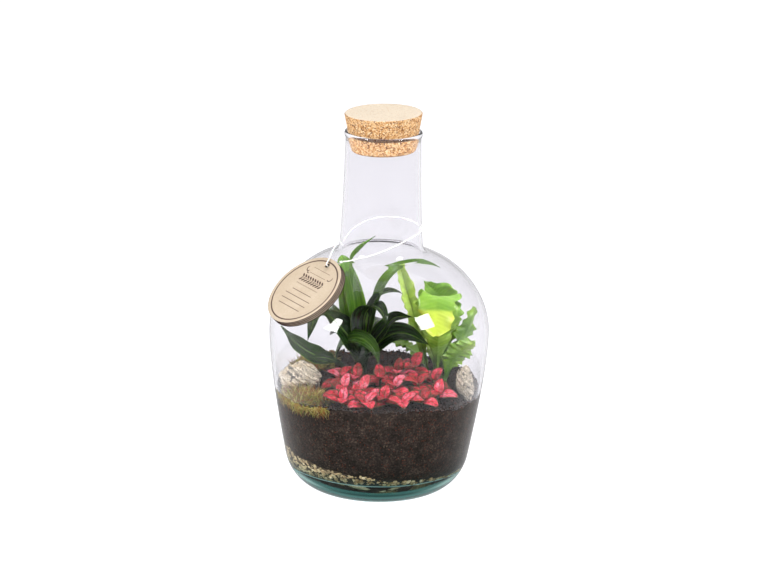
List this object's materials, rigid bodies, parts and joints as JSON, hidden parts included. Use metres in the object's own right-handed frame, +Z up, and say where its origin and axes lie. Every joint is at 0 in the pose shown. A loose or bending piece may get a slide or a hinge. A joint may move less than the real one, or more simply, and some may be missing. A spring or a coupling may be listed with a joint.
{
  "type": "glass plant terrarium",
  "caption": "Corked glass bottle planted as a small closed garden, with soil, stones, moss and leafy plants, and a round card tag tied to its neck.",
  "frame": {"origin": "middle of the bottle's foot, on the surface it stands on", "axes": "+Z up along the bottle's axis; -Y is the front, from which the tag is seen on the left"},
  "size_m": [0.22, 0.22, 0.3855],
  "materials": {
    "glass": "clear blown glass, blue-green where it is thick",
    "cork": "matt pressed cork",
    "gravel": "rough clay and gravel bits",
    "soil": "moist dark potting soil",
    "stone": "rough layered stone",
    "moss": "stringy living moss",
    "dark_leaf": "waxy dark green leaf",
    "light_leaf": "waxy light green leaf",
    "red_leaf": "veined red leaf with green margin",
    "card": "uncoated cream card",
    "string": "white cotton string"
  },
  "bodies": {
    "root": {"cork_stopper": "cork", "dracaena": "dark_leaf", "drainage_gravel": "gravel", "fern_frond_1": "light_leaf", "fern_frond_2": "light_leaf", "fern_frond_3": "light_leaf", "fern_frond_4": "light_leaf", "fern_frond_5": "light_leaf", "fern_frond_6": "light_leaf", "fern_frond_7": "light_leaf", "fittonia": "red_leaf", "glass_bottle": "glass", "layered_stone_left": "stone", "layered_stone_right": "stone", "moss_back": "moss", "moss_front": "moss", "soil": "soil", "string_knot": "string", "tag_card_1": "card", "tag_card_2": "card", "tag_card_3": "card", "tag_card_4": "card", "tag_string": "string"}
  },
  "joints": []
}
